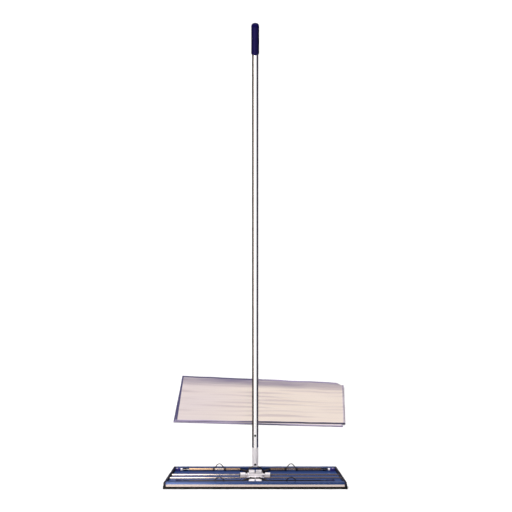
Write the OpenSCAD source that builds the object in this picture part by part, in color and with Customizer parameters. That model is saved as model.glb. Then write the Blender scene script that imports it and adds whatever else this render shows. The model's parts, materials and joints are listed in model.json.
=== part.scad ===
// Dust mop: a trapezoid head with four cloth clips, a universal joint and a long tube handle.
// Millimetres. +Z is up, the front of the head faces -Y, and the origin is on the ground
// under the handle, in the middle of the sole.

/* [Head] */
// Length of the head along its front edge, over the end caps
head_front_len = 604; // [530:1:900]
// Length of the head along its back edge, over the end caps
head_back_len = 530; // [480:1:604]
// Depth of the head from front lip to back lip
head_depth = 136; // [130:1:170]
// Height of the upright lip below each bevel
lip_h = 8.5; // [7:0.1:14]
// Height of the bevel above each lip
bevel_h = 5; // [3:0.1:8]
// Width of the bevel, seen from above
bevel_w = 6.5; // [4:0.1:9]
// Width of the flat ledge along the front and the back
ledge_w = 10.7; // [9:0.1:13]
// Depth of the tray below the ledges
tray_depth = 8.5; // [7:0.1:10]
// Wall thickness of the head's extrusion
plate_t = 2.2; // [1.6:0.1:2.6]
// Distance between the two rails on the tray floor
rail_pitch = 24; // [22:0.5:26]
// Width of a rail
rail_w = 7; // [4:0.1:7]
// Height of a rail
rail_h = 4.2; // [3.5:0.1:4.2]
// Thickness of an end cap along the head
cap_t = 8; // [4:0.1:12]
// How far the sole stands below the lips
sole_drop = 7; // [5:0.1:12]
// How far the sole reaches past the lips and the end caps
sole_edge = 2; // [0.5:0.1:5]

/* [Joint] */
// Height of the tilt axis above the tray floor
tilt_h = 8; // [7.8:0.1:12]
// Length of the base's barrel
barrel_len = 98; // [84:1:120]
// Radius of the base's barrel
barrel_r = 7; // [6:0.1:7.2]
// Length of the hub in the middle of the base
hub_len = 42; // [38:0.5:43]
// Height of the hub above the tilt axis
hub_r = 12.5; // [10:0.1:13]
// Thickness of the hub from front to back
hub_t = 11; // [8:0.1:12]
// Depth of the base's foot from front to back
foot_depth = 88; // [80:0.5:92]
// Height of the base's foot
foot_h = 4.5; // [4.5:0.1:6]
// Radius of the yoke's bow, at the middle of its bar
yoke_r = 29.5; // [29:0.1:31]
// Diameter of the yoke's bar
yoke_d = 5.5; // [5:0.1:8]
// Radius of the yoke's eyes round the tilt rod
eye_r = 4.5; // [4:0.1:4.7]
// Height of the swing pin above the tilt axis
swing_h = 41; // [38:0.1:46]
// Radius of the swing pin
swing_pin_r = 3; // [2:0.1:3.6]
// Radius of the tilt rod
tilt_rod_r = 2.5; // [2:0.1:3]
// Width of the slit in the top of the hub
slit_w = 4; // [2:0.1:5]

/* [Handle] */
// Diameter of the handle tube
tube_d = 21; // [19:0.1:24]
// Wall of the handle tube
tube_t = 1.2; // [0.8:0.1:2]
// Length of the handle tube
tube_len = 1524; // [1000:1:1800]
// Length of the shank from the swing pin to the tube
shank_len = 60; // [40:0.5:100]
// Length of the shank below the swing pin
shank_tip = 8; // [6:0.1:10]
// Length of the spigot inside the tube
spigot_len = 65; // [55:1:90]
// Height of the rivet above the lower end of the tube
rivet_up = 45; // [20:0.5:50]
// Diameter of the hand grip
grip_d = 26; // [25:0.1:34]
// Length of the hand grip
grip_len = 109; // [80:1:160]
// Thickness of the grip's closed end
grip_end_t = 5; // [3:0.1:10]

/* [Clips] */
// Distance from the middle of the head to a clip bar's inner end
bar_in = 50; // [48:0.5:60]
// Gap between an outer ear and the end cap beside it
ear_margin = 1.7; // [0.5:0.1:12]
// Length of an outer ear along the head
ear_len = 16; // [13:0.5:20]
// Diameter of a clip bar
bar_d = 9.5; // [8:0.1:10]
// How far a clip bar sits off its hinge, as a cam
bar_cam = 1.2; // [0.2:0.1:1.4]
// Diameter of a hinge rod
hinge_d = 4; // [3:0.1:4.6]
// Distance from the middle of the head to the middle of a finger loop
loop_in = 118; // [90:0.5:170]
// Half the spread of a finger loop's feet, at the hinge
loop_half = 20; // [17:0.1:26]
// Height of a finger loop's crown above the hinge
loop_h = 18.8; // [17:0.1:26]
// Radius of a finger loop's crown
crown_r = 9; // [6:0.1:10]
// Diameter of a finger loop's wire
loop_d = 3; // [2:0.1:3.4]
// Outward lean of a finger loop, in degrees
loop_lean = 20; // [0:1:30]
// Diameter of a torsion spring's wire
spring_d = 2; // [1.4:0.05:2.2]
// Radius of a torsion spring, at the middle of its wire
spring_r = 3.7; // [3.65:0.05:4]
// Curls in a torsion spring
spring_curls = 3; // [2:1:5]
// Distance from curl to curl
spring_pitch = 4.5; // [3.6:0.1:6]
// Length of the bush between a spring and its outer ear
bush_len = 6.5; // [3:0.1:10]
// Thickness of an inner ear
ear_t = 3; // [2:0.1:4]
// Width of the ears
ear_w = 9; // [8:0.1:9.6]

/* [Cloths] */
// Length of a folded cloth along its front edge
cloth_front_len = 561; // [300:1:700]
// How far a folded cloth's left side leans in
cloth_left_in = 7; // [0:1:60]
// How far a folded cloth's right side leans in
cloth_right_in = 17; // [0:1:60]
// Depth of a folded cloth at its left side
cloth_left_depth = 346; // [200:1:450]
// Depth of a folded cloth at its right side
cloth_right_depth = 313; // [200:1:450]
// Thickness of a folded cloth
cloth_t = 3; // [2:0.1:6]
// Distance from the handle to the middle of the cloths' front edge
cloth_away = 432; // [250:1:700]
// Shift of the cloths along the head
cloth_shift = 16.6; // [-60:0.1:60]
// Turn of the cloths on the ground, in degrees
cloth_turn = -2.4; // [-20:0.1:20]

/* [Hidden] */
$fn = 64;
// Small gaps and overruns
over = 1;
fit = 0.05;
gap = 0.3;
slide = 0.2;

// Heights of the head
lip_z = sole_drop;
bevel_z = lip_z + lip_h;
ledge_z = bevel_z + bevel_h;
deck_z = ledge_z - tray_depth;
under_z = deck_z - plate_t;

// Plan of the head
half_depth = head_depth / 2;
ledge_out = half_depth - bevel_w;
ledge_in = ledge_out - ledge_w;
bevel_angle = atan2(bevel_h, bevel_w);
plan_slope = (head_front_len - head_back_len) / 2 / (half_depth + ledge_out);
extrusion_len = head_front_len + 2 * over;

// End cap plugs
plug_len = 20;
plug_w = ledge_w - 2 * plate_t;

// Joint
tilt_z = deck_z + tilt_h;
swing_z = tilt_z + swing_h;
sleeve_t = 1;
floor_t = tilt_h - eye_r - sleeve_t - gap - slide;
eye_gap = 0.5;
rail_room = 7;
rail_break = hub_len / 2 + rail_room;
bow_room = 1.2;
foot_screw_x = 15;
foot_screw_y = foot_depth / 4;
screw_r = 1.75;
screw_head_r = 3.5;
screw_head_h = 2;
nut_plate_t = 2;
nut_plate_edge = 6;
nut_plate_w = 2 * (foot_screw_x + nut_plate_edge);
nut_plate_d = 2 * (foot_screw_y + nut_plate_edge);
lug_r = 6;
fork_root = 14;
pin_head_r = 4;
pin_head_h = 1.6;
pin_seat = 1;
rod_cap_t = 2.5;
rod_cap_r = 5;

// Handle
tube_r = tube_d / 2;
pin_seat_y = tube_r - pin_seat;
bore_r = tube_r - tube_t;
tube_z = swing_z + shank_len;
tube_top = tube_z + tube_len;
grip_r = grip_d / 2;
grip_top = tube_top + grip_end_t;
grip_dome_r = 9;
grip_foot_r = 2;
rivet_r = 2.4;
rivet_head_r = 3.6;
rivet_head_h = 1.3;
grip_bottom = grip_top - grip_len;

// Clips, drawn for the back right corner
bar_r = bar_d / 2;
hinge_r = hinge_d / 2;
hinge_z = deck_z + max(bar_r, spring_r + spring_d / 2) + gap;
hinge_y = ledge_in - bar_r - bar_cam - gap;
ear_out = head_back_len / 2 - cap_t + plan_slope * (half_depth - hinge_y) - ear_margin;
ear_in = ear_out - ear_len;
bush_in = ear_in - bush_len;
spring_bend_share = 1.2;
spring_bend = spring_bend_share * spring_d;
spring_rise = atan2(2 * PI * spring_r, spring_pitch);
spring_len = spring_curls * spring_pitch + 2 * (spring_d + spring_bend * sin(spring_rise));
bar_out = bush_in - spring_len - gap;
arm_in = bar_in - gap - ear_t;
arm_w = 9;
arm_t = 2;
arm_z = deck_z + foot_h;
arm_part = 0.6;
ear_top = hinge_z + ear_w / 2;
rod_grip = 4.5;
ear_rivet_x = (ear_in + rod_grip + ear_out) / 2;
ear_rivet_r = 1.6;
ear_rivet_head_r = 3;
ear_rivet_head_h = 1.4;
ear_rivet_tail_h = 0.8;
ear_round = 1.5;

// Finger loop, in its own plane, with the hinge at the origin
crown_z = loop_h - crown_r;
foot_reach = norm([loop_half, crown_z]);
leg_len = sqrt(foot_reach * foot_reach - crown_r * crown_r);
leg_lean = 90 - atan2(crown_z, loop_half) - asin(crown_r / foot_reach);
foot_rise = hinge_r + fit + slide + loop_d / 2 * sin(leg_lean);
foot_start = foot_rise / cos(leg_lean);

// The bend draws the wire of the crown a little thinner, and it runs into the legs
crown_d = loop_d - 2 * fit;
crown_lap = 2;

// Springs: a tube of six sides with eight rings to the curl
spring_sides = 6;
rings_per_curl = 8;
bend_rings = 3;
spring_run = spring_curls * 2 * PI * spring_r / sin(spring_rise);
spring_steps = spring_curls * rings_per_curl;

// Points of a spring on its unrolled cylinder: distance along the hinge, and round it
function bend_point(a) = [spring_d + spring_bend * sin(a), spring_bend * (1 - cos(a))];
function run_point(s) = bend_point(spring_rise)
    + s * spring_run * [cos(spring_rise), sin(spring_rise)];
function turned(p) = [spring_len - p[0], 2 * run_point(0.5)[1] - p[1]];
spring_head = concat([[0, 0]],
    [for (i = [0 : bend_rings - 1]) bend_point(spring_rise * i / bend_rings)]);
spring_body = [for (i = [0 : spring_steps]) run_point(i / spring_steps)];
spring_tail = [for (i = [len(spring_head) - 1 : -1 : 0]) turned(spring_head[i])];
spring_flat = concat(spring_head, spring_body, spring_tail);
function degrees_round(p) = p[1] / spring_r * 180 / PI;
function spring_point(p) =
    [p[0], spring_r * sin(degrees_round(p)), spring_r * cos(degrees_round(p))];
spring_line = [for (p = spring_flat) spring_point(p)];
spring_last = len(spring_line) - 1;
function unit(v) = v / norm(v);
function along(i) = unit(spring_line[min(i + 1, spring_last)] - spring_line[max(i - 1, 0)]);
function outward(i) = [0, sin(degrees_round(spring_flat[i])), cos(degrees_round(spring_flat[i]))];
function ring(i) = [for (k = [0 : spring_sides - 1])
    let (a = 360 * k / spring_sides)
    spring_line[i] + spring_d / 2 * (cos(a) * outward(i) + sin(a) * cross(along(i), outward(i)))];

// Least gap between a spring's wire and its own other curls
spring_gap = min([for (i = [0 : spring_last], j = [i + rings_per_curl - 2 : 1 : spring_last])
    norm(spring_line[i] - spring_line[j])]) - spring_d;
echo(least_gap_in_a_spring_mm = spring_gap);

// Cloths
cloth_half = cloth_front_len / 2;
cloth_back_slope = (cloth_left_depth - cloth_right_depth) / (cloth_front_len - cloth_left_in - cloth_right_in);
cloth_corner = 22;
cloth_slip_x = 7;
cloth_slip_y = 9;
cloth_slip_turn = 1.2;

// Placing helpers
module at_side(sy) {
    if (sy < 0) mirror([0, 1, 0]) children();
    else children();
}
module at_corner(sx, sy) {
    if (sx < 0) mirror([1, 0, 0]) at_side(sy) children();
    else at_side(sy) children();
}
module at_corners() for (sx = [-1, 1], sy = [-1, 1]) at_corner(sx, sy) children();
module along_x(x0, x1, r) translate([x0, 0, 0]) rotate([0, 90, 0]) cylinder(r = r, h = x1 - x0);
module along_y(y0, y1, r) translate([0, y0, 0]) rotate([-90, 0, 0]) cylinder(r = r, h = y1 - y0);
module box(x0, x1, y0, y1, z0, z1) translate([x0, y0, z0]) cube([x1 - x0, y1 - y0, z1 - z0]);

// Head: shapes shared by its pieces
module plan(inset) {
    front = head_front_len / 2 - inset;
    back = head_back_len / 2 - inset - plan_slope * over;
    far = half_depth + over;
    polygon([[back, far], [front, -ledge_out], [front, -far],
        [-front, -far], [-front, -ledge_out], [-back, far]]);
}
module plan_block(inset, z0, z1) translate([0, 0, z0]) linear_extrude(height = z1 - z0) plan(inset);
module extruded(len) rotate([90, 0, 90]) linear_extrude(height = len, center = true) children();
module hollow_profile() {
    k = plate_t * tan(bevel_angle / 2);
    m = plate_t * tan((90 - bevel_angle) / 2);
    right = [[half_depth, lip_z], [half_depth, bevel_z], [ledge_out, ledge_z],
        [ledge_in, ledge_z], [ledge_in, deck_z]];
    right_under = [[ledge_in + plate_t, under_z], [ledge_in + plate_t, ledge_z - plate_t],
        [ledge_out - k, ledge_z - plate_t], [half_depth - plate_t, bevel_z - m],
        [half_depth - plate_t, lip_z]];
    left = [for (i = [len(right) - 1 : -1 : 0]) [-right[i][0], right[i][1]]];
    left_under = [for (i = [len(right_under) - 1 : -1 : 0]) [-right_under[i][0], right_under[i][1]]];
    polygon(concat(right, left, left_under, right_under));
}
module rail_profile() for (side = [-1, 1]) translate([side * rail_pitch / 2, 0]) {
    intersection() {
        translate([0, deck_z + rail_h - rail_w / 2]) circle(d = rail_w);
        translate([-rail_w, deck_z - plate_t / 2]) square([2 * rail_w, plate_t + rail_h]);
    }
    translate([-rail_w / 2, deck_z - plate_t / 2]) square([rail_w, plate_t / 2 + rail_h - rail_w / 2]);
}
module cap_profile() polygon([[-half_depth, lip_z], [half_depth, lip_z], [half_depth, bevel_z],
    [ledge_out, ledge_z], [-ledge_out, ledge_z], [-half_depth, bevel_z]]);

module head_plate() color("#2f4f93") difference() {
    intersection() {
        extruded(extrusion_len) union() {
            hollow_profile();
            rail_profile();
        }
        plan_block(cap_t, 0, ledge_z + over);
    }
    box(-rail_break, rail_break, -rail_pitch / 2 - rail_w, rail_pitch / 2 + rail_w,
        deck_z, deck_z + rail_h + over);
    at_corners() translate([foot_screw_x, foot_screw_y, under_z - over])
        cylinder(r = screw_r, h = plate_t + 2 * over);
    at_corners() translate([ear_rivet_x, hinge_y, under_z - over])
        cylinder(r = ear_rivet_r, h = plate_t + 2 * over);
}

module end_cap(side) color("#14162e") intersection() {
    union() {
        intersection() {
            extruded(extrusion_len) cap_profile();
            difference() {
                plan_block(0, 0, ledge_z + over);
                plan_block(cap_t, -over, ledge_z + 2 * over);
            }
        }
        intersection() {
            extruded(extrusion_len) for (s = [-1, 1])
                translate([s * (ledge_in + plate_t + slide + plug_w / 2), (under_z + ledge_z - plate_t) / 2])
                    square([plug_w, ledge_z - plate_t - under_z - 2 * slide], center = true);
            difference() {
                plan_block(cap_t / 2, 0, ledge_z + over);
                plan_block(cap_t + plug_len, -over, ledge_z + 2 * over);
            }
        }
    }
    translate([side * extrusion_len / 4, 0, ledge_z / 2])
        cube([extrusion_len / 2, head_depth + 2 * over, ledge_z + 2 * over], center = true);
}
module left_end_cap() end_cap(-1);
module right_end_cap() end_cap(1);

module rubber_sole() color("#17171a") difference() {
    union() {
        linear_extrude(height = sole_drop) polygon([
            [head_back_len / 2 + sole_edge, half_depth + sole_edge],
            [head_front_len / 2 + sole_edge, -ledge_out],
            [head_front_len / 2 + sole_edge, -half_depth - sole_edge],
            [-head_front_len / 2 - sole_edge, -half_depth - sole_edge],
            [-head_front_len / 2 - sole_edge, -ledge_out],
            [-head_back_len / 2 - sole_edge, half_depth + sole_edge]]);
        intersection() {
            plan_block(cap_t + plug_len, sole_drop - over, under_z);
            box(-extrusion_len / 2, extrusion_len / 2,
                plate_t + gap - half_depth, half_depth - plate_t - gap, 0, under_z);
        }
    }
    box(-nut_plate_w / 2 - slide, nut_plate_w / 2 + slide, -nut_plate_d / 2 - slide, nut_plate_d / 2 + slide,
        under_z - nut_plate_t - slide, under_z + over);
    at_corners() translate([ear_rivet_x, hinge_y, under_z - ear_rivet_tail_h - slide])
        cylinder(r = ear_rivet_head_r + slide, h = plate_t + over);
}

// Joint base and what holds it
module joint_base() color("#efece6") translate([0, 0, deck_z]) difference() {
    union() {
        box(-hub_len / 2, hub_len / 2, -foot_depth / 2, foot_depth / 2, 0, foot_h);
        box(-barrel_len / 2, barrel_len / 2, -barrel_r, barrel_r, 0, tilt_h);
        translate([0, 0, tilt_h]) along_x(-barrel_len / 2, barrel_len / 2, barrel_r);
        intersection() {
            translate([0, 0, tilt_h]) along_x(-hub_len / 2, hub_len / 2, hub_r);
            box(-hub_len, hub_len, -hub_t / 2, hub_t / 2, tilt_h, tilt_h + 2 * hub_r);
        }
    }
    for (side = [0, 1]) mirror([side, 0, 0])
        box(yoke_r - yoke_d / 2 - eye_gap - bow_room, yoke_r + yoke_d / 2 + eye_gap,
            -hub_r, hub_r, floor_t, tilt_h + hub_r);
    box(-slit_w / 2, slit_w / 2, -hub_r, hub_r, tilt_h + tilt_rod_r + slit_w / 2, tilt_h + hub_r + over);
    for (side = [0, 1]) mirror([0, side, 0])
        box(-slit_w / 2, slit_w / 2, foot_screw_y + arm_w / 2, foot_depth / 2 + over, -over, foot_h + over);
    translate([0, 0, tilt_h]) along_x(-barrel_len, barrel_len, tilt_rod_r + fit);
    at_corners() translate([foot_screw_x, foot_screw_y, -over]) cylinder(r = screw_r, h = foot_h + 2 * over);
}
module tilt_rod() color("#8d9095") translate([0, 0, tilt_z])
    along_x(-barrel_len / 2 - rod_cap_t / 2, barrel_len / 2 + rod_cap_t / 2, tilt_rod_r);
module rod_caps() color("#2a2a2e") for (side = [0, 1])
mirror([side, 0, 0]) translate([0, 0, tilt_z]) difference() {
    along_x(barrel_len / 2, barrel_len / 2 + rod_cap_t, rod_cap_r);
    along_x(barrel_len / 2 - over, barrel_len / 2 + rod_cap_t / 2, tilt_rod_r + fit);
}
module base_screws() color("#9a9ca0") at_corners() translate([foot_screw_x, foot_screw_y, 0]) {
    translate([0, 0, under_z - nut_plate_t])
        cylinder(r = screw_r - fit, h = arm_z + arm_t + screw_head_h / 2 - under_z + nut_plate_t);
    translate([0, 0, arm_z + arm_t]) cylinder(r = screw_head_r, h = screw_head_h);
}
module nut_plate() color("#8d9095") difference() {
    box(-nut_plate_w / 2, nut_plate_w / 2, -nut_plate_d / 2, nut_plate_d / 2,
        under_z - fit - nut_plate_t, under_z - fit);
    at_corners() translate([foot_screw_x, foot_screw_y, under_z - nut_plate_t - over])
        cylinder(r = screw_r, h = nut_plate_t + 2 * over);
}

// Yoke, shank, pins and handle
module swivel_yoke() color("#3a3d44") difference() {
    union() {
        translate([0, 0, tilt_z]) rotate([90, 0, 0]) rotate_extrude(angle = 180)
            translate([yoke_r, 0]) circle(d = yoke_d);
        for (side = [-1, 1]) translate([side * yoke_r, 0, tilt_z]) along_x(-yoke_d / 2, yoke_d / 2, eye_r);
        translate([0, 0, swing_z]) along_y(-yoke_d / 2, yoke_d / 2, lug_r);
        box(-lug_r, lug_r, -yoke_d / 2, yoke_d / 2, tilt_z + yoke_r, swing_z);
    }
    translate([0, 0, swing_z]) along_y(-yoke_d, yoke_d, swing_pin_r + fit);
    translate([0, 0, tilt_z]) along_x(-yoke_r - yoke_d, yoke_r + yoke_d, tilt_rod_r + fit);
}
module eye_sleeves() color("#efece6") for (side = [0, 1]) mirror([side, 0, 0]) difference() {
    translate([0, 0, tilt_z]) along_x(yoke_r - yoke_d / 2 - bow_room, yoke_r + yoke_d / 2, eye_r + sleeve_t);
    translate([0, 0, tilt_z])
        along_x(yoke_r - yoke_d / 2 - bow_room - over, yoke_r + yoke_d / 2 + over, eye_r + fit);
    box(yoke_r - yoke_d / 2 - bow_room - over, yoke_r + yoke_d / 2 + over, -yoke_d / 2 - fit, yoke_d / 2 + fit,
        tilt_z, tilt_z + 2 * eye_r);
}
module handle_shank() color("#dedbe0") difference() {
    union() {
        intersection() {
            translate([0, 0, swing_z - shank_tip]) cylinder(r = tube_r, h = shank_tip + shank_len);
            union() {
                translate([0, 0, swing_z]) along_y(-tube_r, tube_r, tube_r);
                box(-tube_r, tube_r, -tube_r, tube_r, swing_z, tube_z);
            }
        }
        translate([0, 0, tube_z - over]) cylinder(r = bore_r - fit, h = spigot_len + over);
    }
    box(-tube_d, tube_d, -yoke_d / 2 - gap, yoke_d / 2 + gap, swing_z - tube_d, swing_z + fork_root);
    translate([0, 0, swing_z]) along_y(-tube_d, tube_d, swing_pin_r + fit);
    for (side = [0, 1]) mirror([0, side, 0]) translate([0, 0, swing_z])
        along_y(pin_seat_y, tube_d, pin_head_r + slide);
    translate([0, 0, tube_z + rivet_up]) along_y(-tube_d, tube_d, rivet_r);
}
module swing_pin() color("#1c1c20") translate([0, 0, swing_z]) {
    along_y(-pin_seat_y - pin_head_h / 2, pin_seat_y + pin_head_h, swing_pin_r);
    along_y(-pin_seat_y - pin_head_h, -pin_seat_y, pin_head_r);
}
module swing_push_nut() color("#1c1c20") translate([0, 0, swing_z]) difference() {
    along_y(pin_seat_y, pin_seat_y + pin_head_h, pin_head_r);
    along_y(pin_seat_y - over, pin_seat_y + pin_head_h + over, swing_pin_r + fit);
}
module shank_rivet() color("#26262a") translate([0, 0, tube_z + rivet_up]) {
    along_y(-tube_r - rivet_head_h / 2, tube_r + rivet_head_h / 2, rivet_r - fit);
    difference() {
        along_y(-tube_r - rivet_head_h, tube_r + rivet_head_h, rivet_head_r);
        translate([0, 0, -rivet_head_r - over]) cylinder(r = tube_r, h = 2 * (rivet_head_r + over));
    }
}
module handle_tube() color("#c9c6c8") difference() {
    translate([0, 0, tube_z]) cylinder(r = tube_r, h = tube_len);
    translate([0, 0, tube_z - over]) cylinder(r = bore_r, h = tube_len + 2 * over);
    translate([0, 0, tube_z + rivet_up]) along_y(-tube_d, tube_d, rivet_r);
}
module hand_grip() color("#23206a") difference() {
    rotate_extrude() intersection() {
        translate([0, grip_bottom]) square([grip_r, grip_len]);
        union() {
            translate([0, grip_bottom]) square([grip_r - grip_foot_r, grip_foot_r + over]);
            translate([grip_r - grip_foot_r, grip_bottom + grip_foot_r]) circle(r = grip_foot_r);
            translate([0, grip_bottom + grip_foot_r]) square([grip_r, grip_len - grip_foot_r - grip_dome_r]);
            translate([0, grip_top - grip_dome_r - over]) square([grip_r - grip_dome_r, grip_dome_r + over]);
            translate([grip_r - grip_dome_r, grip_top - grip_dome_r]) circle(r = grip_dome_r);
        }
    }
    translate([0, 0, grip_bottom - over]) cylinder(r = tube_r + fit, h = grip_len - grip_end_t + over);
}

// Clips
module at_hinge() translate([0, hinge_y, hinge_z]) children();
module in_loop_plane() translate([loop_in, 0, 0]) rotate([-loop_lean, 0, 0]) children();
module loop_legs(r) for (side = [-1, 1])
    translate([side * loop_half, 0, 0]) rotate([0, -side * leg_lean, 0])
        translate([0, 0, foot_start]) cylinder(r = r, h = leg_len - foot_start);
module clip_bar() color("#b08a5c") at_hinge() difference() {
    translate([0, bar_cam, 0]) along_x(bar_in, bar_out, bar_r);
    along_x(bar_in - over, bar_out + over, hinge_r + fit);
    in_loop_plane() loop_legs(loop_d / 2 + fit);
}
module finger_loop() color("#4a4644") at_hinge() in_loop_plane() {
    loop_legs(loop_d / 2);
    translate([0, 0, crown_z]) rotate([90, 0, 0]) rotate([0, 0, leg_lean - crown_lap])
        rotate_extrude(angle = 180 - 2 * (leg_lean - crown_lap)) translate([crown_r, 0]) circle(d = crown_d);
}
module clip_spring() color("#77726b") at_hinge() translate([bar_out + gap, 0, 0]) polyhedron(
    points = [for (i = [0 : spring_last]) each ring(i)],
    faces = concat(
        [[for (k = [0 : spring_sides - 1]) k]],
        [[for (k = [spring_sides - 1 : -1 : 0]) spring_last * spring_sides + k]],
        [for (i = [0 : spring_last - 1], k = [0 : spring_sides - 1])
            let (a = i * spring_sides + k, b = i * spring_sides + (k + 1) % spring_sides)
            each [[a, a + spring_sides, b + spring_sides], [a, b + spring_sides, b]]]));
module hinge_rod() color("#8d9095") at_hinge() along_x(arm_in, ear_in + rod_grip, hinge_r);
module hinge_bushes() color("#c8a888") at_corners() at_hinge() difference() {
    along_x(bush_in, ear_in, bar_r);
    along_x(bush_in - over, ear_in + over, hinge_r + fit);
}
module outer_ear() color("#2a2f7c") difference() {
    union() {
        box(ear_in, ear_out, hinge_y - ear_w / 2, hinge_y + ear_w / 2, deck_z, ear_top - ear_round);
        box(ear_in, ear_out, hinge_y - ear_w / 2 + ear_round, hinge_y + ear_w / 2 - ear_round,
            deck_z, ear_top);
        for (side = [-1, 1]) translate([0, hinge_y + side * (ear_w / 2 - ear_round), ear_top - ear_round])
            along_x(ear_in, ear_out, ear_round);
    }
    at_hinge() along_x(ear_in - over, ear_in + rod_grip, hinge_r + fit);
    translate([ear_rivet_x, hinge_y, deck_z - over])
        cylinder(r = ear_rivet_r, h = ear_top - deck_z + 2 * over);
}
module ear_rivets() color("#c9c6c8") at_corners() translate([ear_rivet_x, hinge_y, 0]) {
    translate([0, 0, under_z - ear_rivet_tail_h / 2])
        cylinder(r = ear_rivet_r - fit, h = ear_top - under_z + ear_rivet_tail_h);
    translate([0, 0, ear_top]) cylinder(r = ear_rivet_head_r, h = ear_rivet_head_h);
    translate([0, 0, under_z - ear_rivet_tail_h]) cylinder(r = ear_rivet_head_r, h = ear_rivet_tail_h);
}
module inner_arm() color("#2c2c31") {
    near = [foot_screw_x, foot_screw_y];
    ahead = unit([arm_in + ear_t / 2, hinge_y] - near);
    far = [arm_in, hinge_y] - arm_w / 2 * ahead;
    aside = arm_w / 2 * [-ahead[1], ahead[0]];
    straight = [0, arm_w / 2];
    bend = 2 * (straight + aside) * (straight * straight) / ((straight + aside) * (straight + aside));
    start = [arm_part, near[1]];
    difference() {
        union() {
            translate([0, 0, arm_z]) linear_extrude(height = arm_t) polygon([
                start - straight, near - bend, far - aside, far + aside, near + bend, start + straight]);
            box(arm_in - arm_w / 2, arm_in + ear_t, hinge_y - ear_w / 2, hinge_y + ear_w / 2,
                arm_z, arm_z + arm_t);
            box(arm_in, arm_in + ear_t, hinge_y - ear_w / 2, hinge_y + ear_w / 2, deck_z, ear_top);
        }
        at_hinge() along_x(arm_in - over, arm_in + ear_t + over, hinge_r + fit);
        translate([near[0], near[1], arm_z - over]) cylinder(r = screw_r, h = arm_t + 2 * over);
    }
}

// Cloths, folded and laid on the ground
module cloth_slab() linear_extrude(height = cloth_t) polygon([
    [-cloth_half, 0], [cloth_half, 0],
    [cloth_half - cloth_right_in, cloth_right_depth - cloth_corner],
    [cloth_half - cloth_right_in - cloth_corner, cloth_right_depth + cloth_back_slope * cloth_corner],
    [cloth_left_in - cloth_half, cloth_left_depth]]);
module at_cloths() translate([cloth_shift, cloth_away, 0]) rotate([0, 0, cloth_turn]) children();
module lower_cloth() color("#2b3166") at_cloths() translate([-cloth_slip_x, -cloth_slip_y, 0])
    rotate([0, 0, -cloth_slip_turn]) cloth_slab();
module upper_cloth() color("#ece4dc") at_cloths() translate([0, 0, cloth_t]) cloth_slab();

head_plate();
left_end_cap();
right_end_cap();
rubber_sole();
joint_base();
tilt_rod();
rod_caps();
base_screws();
nut_plate();
ear_rivets();
hinge_bushes();
swivel_yoke();
eye_sleeves();
handle_shank();
swing_pin();
swing_push_nut();
shank_rivet();
handle_tube();
hand_grip();
at_corner(-1, 1) clip_bar();  // back_left_bar
at_corner(1, 1) clip_bar();  // back_right_bar
at_corner(-1, -1) clip_bar();  // front_left_bar
at_corner(1, -1) clip_bar();  // front_right_bar
at_corner(-1, 1) finger_loop();  // back_left_loop
at_corner(1, 1) finger_loop();  // back_right_loop
at_corner(-1, -1) finger_loop();  // front_left_loop
at_corner(1, -1) finger_loop();  // front_right_loop
at_corner(-1, 1) clip_spring();  // back_left_spring
at_corner(1, 1) clip_spring();  // back_right_spring
at_corner(-1, -1) clip_spring();  // front_left_spring
at_corner(1, -1) clip_spring();  // front_right_spring
at_corner(-1, 1) hinge_rod();  // back_left_hinge_rod
at_corner(1, 1) hinge_rod();  // back_right_hinge_rod
at_corner(-1, -1) hinge_rod();  // front_left_hinge_rod
at_corner(1, -1) hinge_rod();  // front_right_hinge_rod
at_corner(-1, 1) outer_ear();  // back_left_ear
at_corner(1, 1) outer_ear();  // back_right_ear
at_corner(-1, -1) outer_ear();  // front_left_ear
at_corner(1, -1) outer_ear();  // front_right_ear
at_corner(-1, 1) inner_arm();  // back_left_arm
at_corner(1, 1) inner_arm();  // back_right_arm
at_corner(-1, -1) inner_arm();  // front_left_arm
at_corner(1, -1) inner_arm();  // front_right_arm
lower_cloth();
upper_cloth();
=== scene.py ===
# %% [markdown]
# A dust mop for wrapped cloths: a long polished tube, a nylon joint and a wide blue head with four sprung
# clips. The measured model is loaded first and stays fixed. This lesson gives it its finishes, winds its
# springs, folds its cloths and lights it as in a small studio.

import json
import math

import bpy
from mathutils import Matrix, Vector, noise

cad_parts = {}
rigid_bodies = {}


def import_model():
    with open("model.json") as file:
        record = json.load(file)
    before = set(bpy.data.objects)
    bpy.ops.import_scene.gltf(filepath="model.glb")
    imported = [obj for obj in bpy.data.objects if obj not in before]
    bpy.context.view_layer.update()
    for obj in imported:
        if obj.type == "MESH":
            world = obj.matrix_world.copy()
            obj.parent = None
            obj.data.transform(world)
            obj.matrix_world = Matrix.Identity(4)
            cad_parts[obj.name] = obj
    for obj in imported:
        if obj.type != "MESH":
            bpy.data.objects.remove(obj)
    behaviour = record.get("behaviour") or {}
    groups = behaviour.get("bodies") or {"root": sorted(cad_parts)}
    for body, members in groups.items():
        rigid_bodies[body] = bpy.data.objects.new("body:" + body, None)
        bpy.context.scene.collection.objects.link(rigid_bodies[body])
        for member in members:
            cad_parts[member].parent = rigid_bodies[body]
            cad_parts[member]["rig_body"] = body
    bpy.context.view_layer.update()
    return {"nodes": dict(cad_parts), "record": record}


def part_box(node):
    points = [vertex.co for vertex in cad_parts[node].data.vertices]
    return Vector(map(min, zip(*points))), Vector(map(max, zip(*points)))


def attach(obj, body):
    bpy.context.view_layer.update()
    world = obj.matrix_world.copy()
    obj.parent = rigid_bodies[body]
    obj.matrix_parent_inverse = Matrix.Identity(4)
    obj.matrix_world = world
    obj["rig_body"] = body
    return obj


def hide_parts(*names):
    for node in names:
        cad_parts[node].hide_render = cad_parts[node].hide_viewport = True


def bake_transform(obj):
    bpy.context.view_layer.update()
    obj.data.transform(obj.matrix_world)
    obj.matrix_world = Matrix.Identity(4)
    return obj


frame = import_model()
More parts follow.
